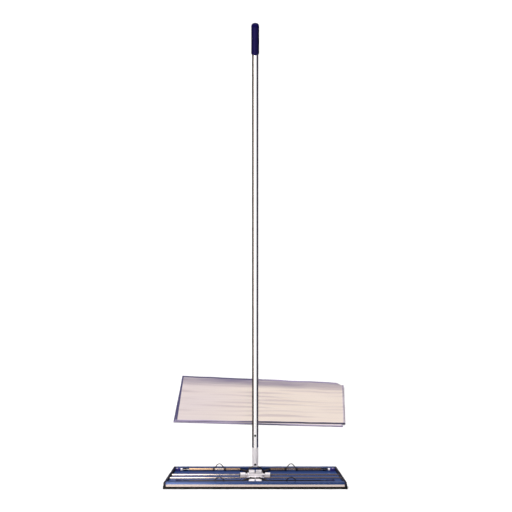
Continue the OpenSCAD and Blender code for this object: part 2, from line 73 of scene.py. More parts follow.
nodes = frame["nodes"]

# %% [markdown]
# The photograph looks down at the mop by about 25 degrees, and its upright lines stay upright, so it was
# taken with a long lens from far away. A camera at 75 metres gives the same flat view. Its lens follows
# from how many pixels one metre fills in the picture.

# %% Camera
VIEW_DOWN = math.radians(25)
PICTURE_SIDE = 512
PIXELS_PER_METRE = 305.2
CAMERA_FAR = 75.0
PICTURE_MIDDLE = Vector((0.0026, 0.0, 0.8135))

backward = Vector((0, -math.cos(VIEW_DOWN), math.sin(VIEW_DOWN)))
bpy.ops.object.camera_add(location=PICTURE_MIDDLE + CAMERA_FAR * backward,
                          rotation=(math.pi / 2 - VIEW_DOWN, 0, 0))
camera = bpy.context.object
camera.data.lens = camera.data.sensor_width * CAMERA_FAR * PIXELS_PER_METRE / PICTURE_SIDE
camera.data.clip_end = 4 * CAMERA_FAR
bpy.context.scene.camera = camera
bpy.context.scene.view_settings.view_transform = "Standard"
print("camera lens:", round(camera.data.lens), "mm")

# %% [markdown]
# A finish is a small network of nodes, and most of it is sums: a mask times a colour, a grain added to a
# roughness. Wiring each sum by hand hides what it says. One small class wraps a socket so that Python's own
# signs make the Math nodes, and one method adds any other node.

# %% Writing finishes as sums


class Wire:
    """One output socket of a node tree, or a whole tree when it has no socket yet."""

    def __init__(self, tree, socket=None):
        self.tree = tree
        self.socket = socket

    def add(self, kind, settings=None, sockets=None, out=0):
        """Adds a node with its settings, links or fills its sockets, and gives one of its outputs."""
        node = self.tree.nodes.new("ShaderNode" + kind)
        for name, value in (settings or {}).items():
            setattr(node, name, value)
        for name, value in (sockets or {}).items():
            if isinstance(value, Wire):
                self.tree.links.new(value.socket, node.inputs[name])
            else:
                node.inputs[name].default_value = value
        return Wire(self.tree, node.outputs[out])

    def maths(self, operation, first, second=0.0):
        """One Math node."""
        return self.add("Math", {"operation": operation}, {0: first, 1: second})

    def __add__(self, other):
        return self.maths("ADD", self, other)

    __radd__ = __add__

    def __sub__(self, other):
        return self.maths("SUBTRACT", self, other)

    def __rsub__(self, other):
        return self.maths("SUBTRACT", other, self)

    def __mul__(self, other):
        return self.maths("MULTIPLY", self, other)

    __rmul__ = __mul__

    def __abs__(self):
        return self.maths("ABSOLUTE", self)

    def step(self, low, high):
        """0 below low, 1 above high and a smooth rise between them; low may be the larger."""
        return self.add("MapRange", {"interpolation_type": "SMOOTHSTEP"},
                        {"Value": self, "From Min": low, "From Max": high})

    def blend(self, dark, light):
        """A colour between two, with this value as the share of the second."""
        return self.add("Mix", {"data_type": "RGBA"}, {0: self, 6: dark, 7: light}, out=2)

    def parts(self):
        """The X, Y and Z of a vector."""
        split = self.add("SeparateXYZ", None, {0: self})
        return [Wire(self.tree, socket) for socket in split.socket.node.outputs]

    def stretched(self, scale):
        """A vector with its X, Y and Z scaled, to draw a pattern out along one of them."""
        return self.add("Mapping", None, {"Vector": self, "Scale": scale})

    def grain(self, scale, detail=2.0):
        """Soft noise from 0 to 1 over a vector."""
        return self.add("TexNoise", None, {"Vector": self, "Scale": scale, "Detail": detail})


print("finishes can be written as sums")

# %% [markdown]
# The stage is a pale floor that runs far past the picture, and a white surround for the camera. Polished
# metal shows what is around it, so the surround that it mirrors is shaped like a studio: bright low down in
# front and behind, dim at the sides, and half bright high behind. That gives the tube its bright middle and
# its dark edges, warm on one side and violet on the other.

# %% Stage and surround
FLOOR_SIDE = 80
FLOOR_LEVEL = -0.0004
PAPER = {"Base Color": (0.93, 0.93, 0.93, 1), "Roughness": 0.9}
WHITE = (1, 1, 1, 1)
PEACH = (1.0, 0.74, 0.60, 1)
VIOLET = (0.80, 0.70, 1.0, 1)
DIM_SIDES = 0.055
LOW_GLOW = 1.0
FRONT_GLOW = 0.05
BACK_GLOW = 0.4

bpy.ops.object.select_all(action="DESELECT")
bpy.ops.mesh.primitive_plane_add(size=FLOOR_SIDE, location=(0, 0, FLOOR_LEVEL))
floor = bpy.context.object
floor.name = "studio_floor"
floor.visible_glossy = False
paper = bpy.data.materials.new("pale_paper")
paper.use_nodes = True
for socket, value in PAPER.items():
    paper.node_tree.nodes["Principled BSDF"].inputs[socket].default_value = value
floor.data.materials.append(paper)

surround = bpy.data.worlds.new("studio_surround")
surround.use_nodes = True
bpy.context.scene.world = surround
sky = Wire(surround.node_tree)
surround.node_tree.nodes.clear()
right, behind, up = sky.add("TexCoord", out="Generated").parts()
low_ends = behind.step(-0.35, -0.7) + behind.step(0.8, 0.9)
low_ends = low_ends * up.step(-0.15, -0.3) * up.step(-0.72, -0.55)
front_high = behind.step(-0.3, -0.8) * up.step(0.2, 0.4)
back_high = behind.step(0.3, 0.9) * up.step(0.0, 0.3)
level = DIM_SIDES + LOW_GLOW * low_ends + FRONT_GLOW * front_high + BACK_GLOW * back_high
edge_tint = right.step(-0.4, 0.4).blend(PEACH, VIOLET)
tint = level.step(0.1, 0.7).blend(edge_tint, WHITE)
mirrored = sky.add("Background", None, {"Color": tint, "Strength": level})
seen = sky.add("Background", None, {"Color": WHITE, "Strength": 1.0})
by_camera = sky.add("LightPath", out="Is Camera Ray")
both = sky.add("MixShader", None, {0: by_camera, 1: mirrored, 2: seen})
world_out = surround.node_tree.nodes.new("ShaderNodeOutputWorld")
surround.node_tree.links.new(both.socket, world_out.inputs["Surface"])
print("surround has", len(surround.node_tree.nodes), "nodes")

# %% [markdown]
# Lamps do the rest. A soft sun lights the matt pieces and keeps the floor white, and the metals don't mirror
# it. Two softboxes stand over and before the left half of the head, and show only as gleams on what is
# shiny: in the photograph the rails and the bars are bright on the left and dark on the right.

# %% Lamps
SUN_TURN = (math.radians(14), math.radians(-12), 0)
SUN_STRENGTH = 3.8
SUN_SPREAD = math.radians(38)
WARM = (1.0, 0.88, 0.74)

bpy.ops.object.light_add(type="SUN", location=(-1, -2, 3), rotation=SUN_TURN)
sun = bpy.context.object
sun.data.energy = SUN_STRENGTH
sun.data.angle = SUN_SPREAD
sun.visible_glossy = False


def softbox(location, turn, wide, long, brightness):
    """A flat warm lamp of that radiance that faces down until it is turned to the back."""
    bpy.ops.object.light_add(type="AREA", location=location, rotation=(turn, 0, 0))
    lamp = bpy.context.object
    lamp.data.shape = "RECTANGLE"
    lamp.data.color = WARM
    lamp.data.size = wide
    lamp.data.size_y = long
    lamp.data.energy = brightness * math.pi * wide * long
    lamp.visible_camera = False
    lamp.visible_diffuse = False
    return lamp


overhead = softbox(location=(-0.76, -0.45, 1.3), turn=0.0, wide=1.2, long=2.4, brightness=3.2)
before = softbox(location=(-0.76, -1.5, 0.35), turn=math.pi / 2, wide=1.2, long=1.7, brightness=2.0)
print("boxes of", round(overhead.data.energy), "and", round(before.data.energy), "watts")

# %% [markdown]
# A finish starts from the shader that Blender gives a new material. Numbers that are the same all over go
# straight on its sockets, and what changes over the surface is wired in. Fine grain that can be felt goes
# through a Bump node. The fittings along the front of the head lie in shade, so a finish can also take a
# painted shade tone for the front row.

# %% Starting a finish
FRONT_ROW = -0.03
FRONT_FADE = 0.002
finishes = {}


def finish(name, **numbers):
    """A new material, its shader and the object coordinates to draw on."""
    material = bpy.data.materials.new(name)
    material.use_nodes = True
    finishes[name] = material
    shader = material.node_tree.nodes["Principled BSDF"]
    for socket, number in numbers.items():
        shader.inputs[socket.replace("_", " ")].default_value = number
    return shader, Wire(material.node_tree).add("TexCoord", out="Object")


def wire_in(shader, **sockets):
    """Links what changes over the surface to a shader's sockets."""
    for name, value in sockets.items():
        value.tree.links.new(value.socket, shader.inputs[name.replace("_", " ")])


def felt(height, depth, strength=0.5):
    """A bump of that depth in metres, for a shader's Normal."""
    return height.add("Bump", None, {"Strength": strength, "Distance": depth, "Height": height})


def front_row_shade(place, colour, tone):
    """A colour that gives way to a painted shade tone on the fittings along the front of the head."""
    _, depth, _ = place.parts()
    # painted shade: the fittings along the front of the head turn to a dark tone
    return depth.step(FRONT_ROW + FRONT_FADE, FRONT_ROW).blend(colour, tone)


print("ready to mix finishes")

# %% [markdown]
# The head is an aluminium extrusion, anodised blue. The dyed layer keeps part of the metal's shine, so the
# finish is partly metallic with a dark blue base, and the die leaves faint lines along its length. The deck
# is duller and deeper than the flanges, the tops of the two rails are bare bright metal, and the upright
# lips are pale. Masks on height and depth find them.

# %% Blue anodised metal
FLANGE_BLUE = (0.030, 0.066, 0.21, 1), (0.052, 0.112, 0.33, 1)
DECK_BLUE = (0.020, 0.048, 0.165, 1), (0.034, 0.076, 0.245, 1)
BARE_RAIL = (0.80, 0.77, 0.76, 1), (0.93, 0.90, 0.89, 1)
PALE_LIP = (0.66, 0.55, 0.51, 1), (0.78, 0.66, 0.61, 1)
RAILS_WITHIN = 0.018
RAILS_FADE = 0.0005
RAIL_CROWN = 0.0007
OVER_DECK = 0.0004
LIP_SKIN = 0.0004

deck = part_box("joint_base")[0].z
lip_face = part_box("head_plate")[1].y
shader, place = finish("blue_metal", Coat_Roughness=0.12)
_, y, z = place.parts()
die_lines = place.stretched((3, 900, 900)).grain(1.0, 3.0)
clouds = place.grain(14.0, 3.0)
streaks = 0.6 * die_lines + 0.4 * clouds
rail = z.step(deck + OVER_DECK, deck + RAIL_CROWN) * abs(y).step(RAILS_WITHIN + RAILS_FADE, RAILS_WITHIN)
lip = abs(y).step(lip_face - LIP_SKIN, lip_face - LIP_SKIN / 2)
on_deck = z.step(deck + 2 * OVER_DECK, deck + OVER_DECK) * (1 - lip)
blue = on_deck.blend(streaks.blend(*FLANGE_BLUE), streaks.blend(*DECK_BLUE))
railed = rail.blend(blue, die_lines.blend(*BARE_RAIL))
wire_in(shader, Base_Color=lip.blend(railed, die_lines.blend(*PALE_LIP)),
        Metallic=0.6 + 0.4 * (rail + lip) - 0.4 * on_deck,
        Roughness=0.17 + 0.09 * die_lines + 0.05 * clouds - 0.08 * rail + 0.2 * on_deck,
        Coat_Weight=0.4 - 0.34 * on_deck, Normal=felt(die_lines, 0.00004))
print("deck at", round(1000 * deck, 1), "mm")

# %% [markdown]
# The tube and the rivets of the bearing blocks are bare aluminium, drawn and polished. The drawing runs
# along the tube, so the fine lines are noise stretched along Z.

# %% Bare aluminium
POLISHED = (0.78, 0.76, 0.77, 1), (0.93, 0.91, 0.92, 1)
SHADED_ALUMINIUM = (0.04, 0.04, 0.06, 1), (0.10, 0.10, 0.13, 1)

shader, place = finish("bare_aluminium", Metallic=1.0)
drawn = place.stretched((1400, 1400, 4)).grain(1.0, 2.0)
smudge = place.grain(9.0, 3.0)
bright = (0.5 * drawn + 0.5 * smudge).blend(*POLISHED)
# the rivets along the front take a painted shade tone
wire_in(shader, Base_Color=front_row_shade(place, bright, smudge.blend(*SHADED_ALUMINIUM)),
        Roughness=0.09 + 0.08 * drawn + 0.08 * smudge, Normal=felt(drawn, 0.00003, 0.3))
print("bare aluminium mixed")

# %% [markdown]
# The other metals are the same idea in other colours: dark plated steel for the yoke, the loops, the arms,
# the springs, the screws and the front bars, zinc plated steel for the rods, and a bronze plate on the back
# bars. One function mixes all three. Its grain runs along the head, as on bars that were ground lengthwise.
# The feet of the finger loops are welded to the bars. Beside each foot the bronze is darkened by a painted
# shade, and between the two feet the bar is painted near white as a highlight.

# %% Plated steels and bronze
FOOT_SHADE = (0.028, 0.020, 0.022, 1)
GLARE_WHITE = (1.0, 0.98, 1.0, 1)
FOOT_SHADE_REACH = 0.002
FOOT_SHADE_FADE = 0.0025
FOOT_SHADE_RAGGED = 0.002
GLARE_FADE = 0.004


def plated(name, dark, light, roughness, front=None, loop_feet=None):
    """A plated metal between two tones, with a painted shade tone for the front row, or painted shade at a
    pair of loop feet along X and a painted highlight between them.
    """
    shader, place = finish(name, Metallic=1.0)
    ground = place.stretched((60, 1500, 1500)).grain(1.0, 2.0)
    spots = place.grain(220.0, 3.0)
    wear = spots.step(0.62, 0.78)
    colour = (0.6 * ground + 0.4 * spots).blend(dark, light)
    if front:
        colour = front_row_shade(place, colour, front)
    if loop_feet:
        inner, outer = loop_feet
        along = abs(place.parts()[0])
        # painted highlight: the bar between the two loop feet is near white
        between = along.step(inner, inner + GLARE_FADE) * along.step(outer, outer - GLARE_FADE)
        colour = between.blend(colour, ground.blend(dark, GLARE_WHITE))
        # painted shade beside each loop foot
        for foot in loop_feet:
            beside = abs(along - foot) + FOOT_SHADE_RAGGED * (spots - 0.5)
            shade_at_foot = 0.92 * beside.step(FOOT_SHADE_REACH + FOOT_SHADE_FADE, FOOT_SHADE_REACH)
            colour = shade_at_foot.blend(colour, FOOT_SHADE)
    wire_in(shader, Base_Color=colour, Roughness=roughness + 0.10 * ground + 0.12 * wear,
            Normal=felt(ground, 0.00003, 0.3))


# the rods along the front take a painted shade tone
plated("steel", (0.42, 0.42, 0.44, 1), (0.66, 0.66, 0.68, 1), roughness=0.18, front=(0.05, 0.05, 0.065, 1))
plated("dark_steel", (0.030, 0.027, 0.030, 1), (0.095, 0.085, 0.085, 1), roughness=0.20)
plated("bronze", (0.48, 0.33, 0.23, 1), (0.74, 0.57, 0.44, 1), roughness=0.17,
       loop_feet=[side.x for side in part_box("back_right_loop")])
print("metals mixed:", ", ".join(sorted(finishes)))

# %% [markdown]
# Moulded plastics have a fine spark-eroded grain, a soft colour drift and patches that use has rubbed
# slightly shinier. The joint and the shank are white nylon, the end caps near black, the bearing blocks
# navy, the grip navy vinyl with a blue gleam, and the sole black rubber.

# %% Plastics and rubber
NYLON = {"dark": (0.80, 0.75, 0.78, 1), "light": (0.94, 0.91, 0.91, 1), "roughness": 0.36,
         "grain_size": 0.0006, "depth": 0.00004}


def moulded(name, dark, light, roughness, grain_size, depth, gleam=WHITE, front=None):
    """A plastic between two tones, with a grain of that size and depth in metres."""
    shader, place = finish(name, Specular_IOR_Level=0.35, Specular_Tint=gleam)
    drift = place.grain(18.0, 3.0)
    skin = place.grain(1.0 / grain_size, 2.0)
    colour = (0.7 * drift + 0.3 * skin).blend(dark, light)
    if front:
        colour = front_row_shade(place, colour, front)
    wire_in(shader, Base_Color=colour, Roughness=roughness + 0.16 * skin - 0.08 * drift,
            Normal=felt(skin, depth))


moulded("white_nylon", **NYLON)
# the hinge bushes along the front take a painted shade tone
moulded("bush_nylon", **NYLON, front=(0.012, 0.013, 0.06, 1))
moulded("dark_plastic", (0.003, 0.003, 0.010, 1), (0.008, 0.008, 0.030, 1),
        roughness=0.42, grain_size=0.0005, depth=0.00005)
# the bearing blocks along the front take a painted shade tone
moulded("blue_plastic", (0.022, 0.018, 0.15, 1), (0.050, 0.042, 0.27, 1),
        roughness=0.34, grain_size=0.0005, depth=0.00004, front=(0.009, 0.010, 0.06, 1))
moulded("navy_vinyl", (0.003, 0.002, 0.034, 1), (0.008, 0.005, 0.070, 1),
        roughness=0.34, grain_size=0.0011, depth=0.00006, gleam=(0.28, 0.22, 1.0, 1))
moulded("sole_rubber", (0.003, 0.003, 0.003, 1), (0.012, 0.011, 0.010, 1),
        roughness=0.66, grain_size=0.0008, depth=0.00012)
print("plastics and rubber mixed, now", len(finishes), "finishes")

# %% [markdown]
# Each CAD node takes the finish of the material slot that the record names for it. The cloths wait for their
# own finish further down. The hinge bushes are nylon too, with a painted shade on those in front.

# %% Dress the CAD nodes
slot_of = {row["node"]: row["material_slot"] for row in frame["record"]["subparts"]}
dressed = [node for node, slot in slot_of.items() if slot in finishes]
for node in dressed:
    nodes[node].data.materials.clear()
    nodes[node].data.materials.append(finishes[slot_of[node]])
nodes["hinge_bushes"].data.materials[0] = finishes["bush_nylon"]
print("dressed", len(dressed), "nodes")

# %% [markdown]
# No real edge is perfectly sharp: a moulding has a small radius, and a cut or punched edge is eased with a
# file. The CAD solids have sharp edges, so a copy of each such piece gets a narrow Bevel. The copy's loose
# triangles are merged and its flat faces dissolved first, so that only true edges are rounded. Hardened
# normals keep the flat faces flat up to the rounding.

# %% Ease the edges
CORNERS = {"back_left": (-1, 1), "back_right": (1, 1), "front_left": (-1, -1), "front_right": (1, -1)}
EASED = {"joint_base": 0.0007, "handle_shank": 0.0006, "left_end_cap": 0.0012, "right_end_cap": 0.0012,
         "rubber_sole": 0.0008, "head_plate": 0.0004, "rod_caps": 0.0006, "swing_pin": 0.0005}
for corner in CORNERS:
    EASED[corner + "_ear"] = 0.0005
    EASED[corner + "_arm"] = 0.0004
    EASED[corner + "_bar"] = 0.0006
SHARP = math.radians(35)
FLAT = math.radians(0.5)
LOOSE_POINTS = 0.000002
ROUND_STEPS = 2


def work_on(piece):
    """Makes a piece the only selected and active one."""
    bpy.ops.object.select_all(action="DESELECT")
    bpy.context.view_layer.objects.active = piece
    piece.select_set(True)


def eased(node, radius):
    """A copy of a CAD node with its sharp edges rounded, on the same body and in the same finish."""
    piece = bpy.data.objects.new(node + "_eased", nodes[node].data.copy())
    bpy.context.scene.collection.objects.link(piece)
    work_on(piece)
    bpy.ops.mesh.customdata_custom_splitnormals_clear()
    bpy.ops.object.mode_set(mode="EDIT")
    bpy.ops.mesh.select_all(action="SELECT")
    bpy.ops.mesh.remove_doubles(threshold=LOOSE_POINTS)
    bpy.ops.mesh.dissolve_limited(angle_limit=FLAT)
    bpy.ops.object.mode_set(mode="OBJECT")
    bpy.ops.object.shade_smooth_by_angle(angle=SHARP)
    bevel = piece.modifiers.new("eased", "BEVEL")
    bevel.width = radius
    bevel.segments = ROUND_STEPS
    bevel.limit_method = "ANGLE"
    bevel.angle_limit = SHARP
    bevel.harden_normals = True
    bpy.ops.object.modifier_apply(modifier="eased")
    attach(piece, nodes[node]["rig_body"])
    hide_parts(node)


for node, radius in EASED.items():
    eased(node, radius)
print("eased", len(EASED), "pieces")

# %% [markdown]
# Each clip closes by a torsion spring: three open curls round the hinge rod, with a leg at each end. The
# wire starts as a small circle, set off from the hinge by the coil's radius, and a Screw modifier winds it.

# %% Wind a spring
SPRING_WIRE = 0.002
SPRING_RADIUS = 0.0037
SPRING_CURLS = 3
SPRING_PITCH = 0.0045
WIRE_POINTS = 14
CURL_STEPS = 28

coil_low, coil_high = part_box("back_right_spring")
rod_low, rod_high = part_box("back_right_hinge_rod")
hinge = Vector((0, (rod_low.y + rod_high.y) / 2, (rod_low.z + rod_high.z) / 2))
lead = (coil_high.x - coil_low.x - SPRING_CURLS * SPRING_PITCH) / 2
coil_start = Vector((coil_low.x + lead, hinge.y, hinge.z))
coil_end = coil_start + Vector((SPRING_CURLS * SPRING_PITCH, 0, 0))

bpy.ops.object.select_all(action="DESELECT")
bpy.ops.mesh.primitive_circle_add(vertices=WIRE_POINTS, radius=SPRING_WIRE / 2, location=coil_start,
                                  rotation=(math.pi / 2, 0, 0))
coil = bpy.context.object
bpy.ops.object.transform_apply(location=False, rotation=True, scale=False)
bpy.ops.object.mode_set(mode="EDIT")
bpy.ops.mesh.select_all(action="SELECT")
bpy.ops.transform.translate(value=(0, 0, SPRING_RADIUS))
bpy.ops.object.mode_set(mode="OBJECT")
winding = coil.modifiers.new("winding", "SCREW")
winding.axis = "X"
winding.angle = -2 * math.pi
winding.screw_offset = SPRING_PITCH
winding.iterations = SPRING_CURLS
winding.steps = CURL_STEPS
winding.render_steps = CURL_STEPS
bpy.ops.object.modifier_apply(modifier="winding")
bpy.ops.object.transform_apply(location=True, rotation=False, scale=False)
print("coil:", len(coil.data.polygons), "faces")

# %% [markdown]
# The open ring at each end of the coil becomes a leg. A ring is found by its distance from where the wire
# starts or ends. It is spun a quarter turn towards the end of the rod, drawn out into a straight leg that
# reaches the bar or the bush, and closed with a face. The spin sets off on the same side as the coil, so the
# wire doubles back at the ring. About the opposite axis it would run on smoothly.

# %% Draw out the legs of the spring
LEG_BEND = 0.0022
LEG_DIP = 0.0007
TO_BAR = 0.0003
BEND_STEPS = 6
IN_RING = 0.501 * SPRING_WIRE


def select_points(piece, wanted):
    """Opens edit mode with the points selected that pass a test."""
    work_on(piece)
    bpy.ops.object.mode_set(mode="EDIT")
    bpy.ops.mesh.select_mode(type="VERT")
    bpy.ops.mesh.select_all(action="DESELECT")
    bpy.ops.object.mode_set(mode="OBJECT")
    for vertex in piece.data.vertices:
        vertex.select = wanted(vertex.co)
    bpy.ops.object.mode_set(mode="EDIT")


for middle, way, extra in ((coil_start, -1, TO_BAR), (coil_end, 1, 0.0)):
    ring = middle + Vector((0, 0, SPRING_RADIUS))
    select_points(coil, lambda point: (point - ring).length < IN_RING)
    bpy.ops.mesh.spin(steps=BEND_STEPS, angle=math.pi / 2, axis=(0, 0, -1),
                      center=ring + Vector((way * LEG_BEND, 0, 0)))
    leg = way * (lead - LEG_BEND + extra)
    bpy.ops.mesh.extrude_region_move(TRANSFORM_OT_translate={"value": (leg, 0, -LEG_DIP)})
    bpy.ops.mesh.edge_face_add()
    bpy.ops.object.mode_set(mode="OBJECT")
bpy.ops.object.shade_smooth()
reach = [vertex.co.x for vertex in coil.data.vertices]
print("spring from", round(1000 * min(reach), 2), "to", round(1000 * max(reach), 2), "mm, CAD from",
      round(1000 * coil_low.x, 2), "to", round(1000 * coil_high.x, 2))

# %% [markdown]
# The four springs are mirror images. Mirroring turns a mesh's faces over, so its seams are merged and its
# normals recalculated. Because the wire doubles back, the legs then face outwards and the coil inwards.

# %% Place the four springs
SEAM_POINTS = 0.000005


def face_outwards(piece):
    """Merges a mesh along its seams and recalculates the way its faces point."""
    work_on(piece)
    bpy.ops.object.mode_set(mode="EDIT")
    bpy.ops.mesh.select_all(action="SELECT")
    bpy.ops.mesh.remove_doubles(threshold=SEAM_POINTS)
    bpy.ops.mesh.normals_make_consistent(inside=False)
    bpy.ops.object.mode_set(mode="OBJECT")


for corner, (sx, sy) in CORNERS.items():
    spring = bpy.data.objects.new(corner + "_coil", coil.data.copy())
    bpy.context.scene.collection.objects.link(spring)
    spring.data.transform(Matrix.Diagonal((sx, sy, 1, 1)))
    face_outwards(spring)
    spring.data.materials.append(finishes["dark_steel"])
    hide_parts(corner + "_spring")
    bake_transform(spring)
bpy.data.objects.remove(coil)
print("springs placed at", ", ".join(CORNERS))

# %% [markdown]
# The joint is held by four pan head screws, and each bearing block by a rivet. A pan head is a short
# cylinder with a well rounded upper rim and a cross driven into it. One screw is modelled at the origin: its
# rim is bevelled, and two crossed bars are taken out of it by Boolean. A rivet's head is rounder and has no
# cross.

# %% Model a screw and a rivet
SCREW_RADIUS = 0.0035
SCREW_HIGH = 0.002
SCREW_SHARP = math.radians(40)
RIVET_RADIUS = 0.003
RIVET_HIGH = 0.0014
RIVET_SHARP = math.radians(50)
HEAD_POINTS = 40
ROUND_RIM = 0.0012
RIM_STEPS = 5
CROSS_LONG = 0.0042
CROSS_WIDE = 0.0009
CROSS_DEEP = 0.0011


def pan_head(name, radius, height):
    """A fastener's head that stands on the origin, with its upper rim rounded."""
    bpy.ops.object.select_all(action="DESELECT")
    bpy.ops.mesh.primitive_cylinder_add(vertices=HEAD_POINTS, radius=radius, depth=height,
                                        location=(0, 0, height / 2))
    head = bpy.context.object
    head.name = name
    bpy.ops.object.transform_apply(location=True, rotation=False, scale=False)
    select_points(head, lambda point: point.z > 0.9 * height)
    bpy.ops.mesh.bevel(offset=ROUND_RIM, segments=RIM_STEPS, affect="EDGES")
    bpy.ops.object.mode_set(mode="OBJECT")
    return head


def drive_cross(head, top):
    """Takes two crossed bars out of a head's top."""
    for long, wide in ((CROSS_LONG, CROSS_WIDE), (CROSS_WIDE, CROSS_LONG)):
        bpy.ops.object.select_all(action="DESELECT")
        bpy.ops.mesh.primitive_cube_add(size=1, location=(0, 0, top), scale=(long, wide, 2 * CROSS_DEEP))
        bar = bpy.context.object
        work_on(head)
        cut = head.modifiers.new("cross", "BOOLEAN")
        cut.operation = "DIFFERENCE"
        cut.object = bar
        bpy.ops.object.modifier_apply(modifier="cross")
        bpy.data.objects.remove(bar)


screw_head = pan_head("screw_pattern", SCREW_RADIUS, SCREW_HIGH)
drive_cross(screw_head, SCREW_HIGH)
bpy.ops.object.shade_smooth_by_angle(angle=SCREW_SHARP)
rivet_head = pan_head("rivet_pattern", RIVET_RADIUS, RIVET_HIGH)
bpy.ops.object.shade_smooth_by_angle(angle=RIVET_SHARP)
print("screw:", len(screw_head.data.polygons), "faces, rivet:", len(rivet_head.data.polygons), "faces")

# %% [markdown]
# Each screw and rivet is a copy of its pattern with a mesh of its own. The CAD keeps the four of a kind as
# one group, so their places follow from the corners of the group's box. No two crosses point the same way,
# as on screws driven by hand.

# %% Set the screws and rivets


def set_heads(pattern, node, radius, height):
    """Copies of a head at the four corners of a CAD group of fasteners, with their tops level."""
    _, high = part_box(node)
    for corner, (sx, sy) in CORNERS.items():
        head = bpy.data.objects.new(corner + "_" + node[:-1], pattern.data.copy())
        bpy.context.scene.collection.objects.link(head)
        place = Vector((sx * (high.x - radius), sy * (high.y - radius), high.z - height))
        head.data.transform(Matrix.Translation(place) @ Matrix.Rotation(0.5 * sx + 0.9 * sy, 4, "Z"))
        head.data.materials.append(finishes[slot_of[node]])
        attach(head, "head")
        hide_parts(node)
    bpy.data.objects.remove(pattern)


set_heads(screw_head, "base_screws", SCREW_RADIUS, SCREW_HIGH)
set_heads(rivet_head, "ear_rivets", RIVET_RADIUS, RIVET_HIGH)
print("fasteners set:", 2 * len(CORNERS))

# %% [markdown]
# Behind the mop lie two of its dusting cloths, each folded once at the front. They are a thin cream knit,
# cooler on the left and warmer on the right in patches, bound at the edges with navy thread that turns lilac
# on the right. The weave and the binding are drawn on the unfolded sheet by its UV map. The folding below
# keeps in an attribute how steeply the creases rise at each point, and that share of a painted shade darkens
# one side of each crease.

# %% Cloth finish
SHEET_WIDE = 0.561
SHEET_LONG = 0.692
KNIT_RIB = 0.0024
KNIT_ROW = 0.0018
SIDE_BINDING = 0.006
END_BINDING = 0.010
BINDING_FADE = 0.001
STITCH = 0.003
FOLD_SHADE_WIDE = 0.005
FOLD_FADE = 0.002
BACK_BAND = 0.03
BACK_FADE = 0.055
NAVY = (0.012, 0.012, 0.085, 1)
LILAC = (0.33, 0.28, 0.44, 1)
BACK_SHADE_TONE = (0.20, 0.17, 0.25, 1)
CREASE_SHADE_TONE = (0.44, 0.36, 0.38, 1)


def wave(distance, period):
    """A soft ripple from 0 to 1 along a distance in metres."""
    return 0.5 + 0.5 * distance.maths("SINE", distance * (2 * math.pi / period))


def knitted(name, cool, warm, lilac_from, fold_shadow_ends):
    """A knit from a cool to a warm tone. Shares across say where its edge thread turns lilac and where the
    navy painted shadow along its fold ends.
    """
    shader, place = finish(name, Roughness=0.86, Sheen_Weight=0.15, Sheen_Roughness=0.5)
    u, v, _ = place.add("UVMap", {"uv_map": "unfolded"}).parts()
    across = u * SHEET_WIDE
    along = v * SHEET_LONG
    knit = 0.5 * wave(across, KNIT_RIB) + 0.5 * wave(along, KNIT_ROW)
    wash = place.stretched((3, 14, 14)).grain(1.0, 4.0)
    from_side = (0.5 - abs(u - 0.5)) * SHEET_WIDE
    from_end = (0.5 - abs(v - 0.5)) * SHEET_LONG
    from_fold = abs(v - 0.5) * SHEET_LONG
    inside = from_side.step(SIDE_BINDING - BINDING_FADE, SIDE_BINDING)
    inside = inside * from_end.step(END_BINDING - BINDING_FADE, END_BINDING)
    binding = (1 - inside) * (1 - 0.45 * u.step(0.9, 0.96))
    thread = (u.step(lilac_from - 0.1, lilac_from + 0.1) * (0.4 + wash.step(0.4, 0.6))).blend(NAVY, LILAC)
    bound = (0.3 * wave(across + along, STITCH)).blend(thread, LILAC)
    # painted shade along the fold: lilac, with navy as a painted shadow from the middle out to a share
    # across
    by_fold = 0.9 * from_fold.step(FOLD_SHADE_WIDE + FOLD_FADE, FOLD_SHADE_WIDE)
    fold_shade = (u.step(0.3, 0.5) * u.step(fold_shadow_ends + 0.1, fold_shadow_ends - 0.1)).blend(LILAC, NAVY)
    # painted shade: a mottled grey lilac band near both ends of the sheet, which lie at the back
    back_shade = from_end.step(BACK_BAND + BACK_FADE, BACK_BAND) * (0.5 + 0.5 * wash.step(0.35, 0.65))
    crease_shade = place.add("Attribute", {"attribute_name": "crease"}, out="Fac")
    body = (u.step(0.05, 0.6) * 0.6 + 0.4 * wash + 0.15 * (knit - 0.5)).blend(cool, warm)
    # painted shade: one side of each crease darkens by the share kept in the crease attribute
    body = (0.65 * crease_shade).blend(back_shade.blend(body, BACK_SHADE_TONE), CREASE_SHADE_TONE)
    wire_in(shader, Base_Color=by_fold.blend(binding.blend(body, bound), fold_shade),
            Normal=felt(knit + 0.8 * binding, 0.0003, 0.6))


knitted("cream_cloth", (0.62, 0.545, 0.555, 1), (0.75, 0.655, 0.565, 1), lilac_from=0.52, fold_shadow_ends=1.2)
knitted("under_cloth", (0.54, 0.48, 0.56, 1), (0.69, 0.615, 0.615, 1), lilac_from=0.68, fold_shadow_ends=0.66)
print("cloths:", round(SHEET_WIDE * SHEET_LONG, 3), "square metres each at most")

# %% [markdown]
# A cloth is one sheet, so it starts as one flat grid. Each point is then laid where folding puts it: forward
# along the lower layer, round the fold at the front and back again on top. The two sides aren't quite
# square, as on a cloth folded by hand, and one back corner is turned in. Long creases run over the upper
# layer from how it was packed.

# %% Fold a cloth
LEFT_DEEP = 0.346
RIGHT_DEEP = 0.313
HALF_LONG = (LEFT_DEEP + RIGHT_DEEP) / 2
LEFT_IN = 0.007
RIGHT_IN = 0.017
FOLD_ROUND = 0.0008
CORNER = 0.022
CORNER_WAY = Vector((0.7071, 0.7071))
TUCK_DOWN = 0.0006
TUCK_WITHIN = 0.001
CREASES = 10
CREASE_HIGH = 0.0027
RIPPLE_HIGH = 0.0012
EDGE_WAVER = 0.0012
FLAT_END = 0.06


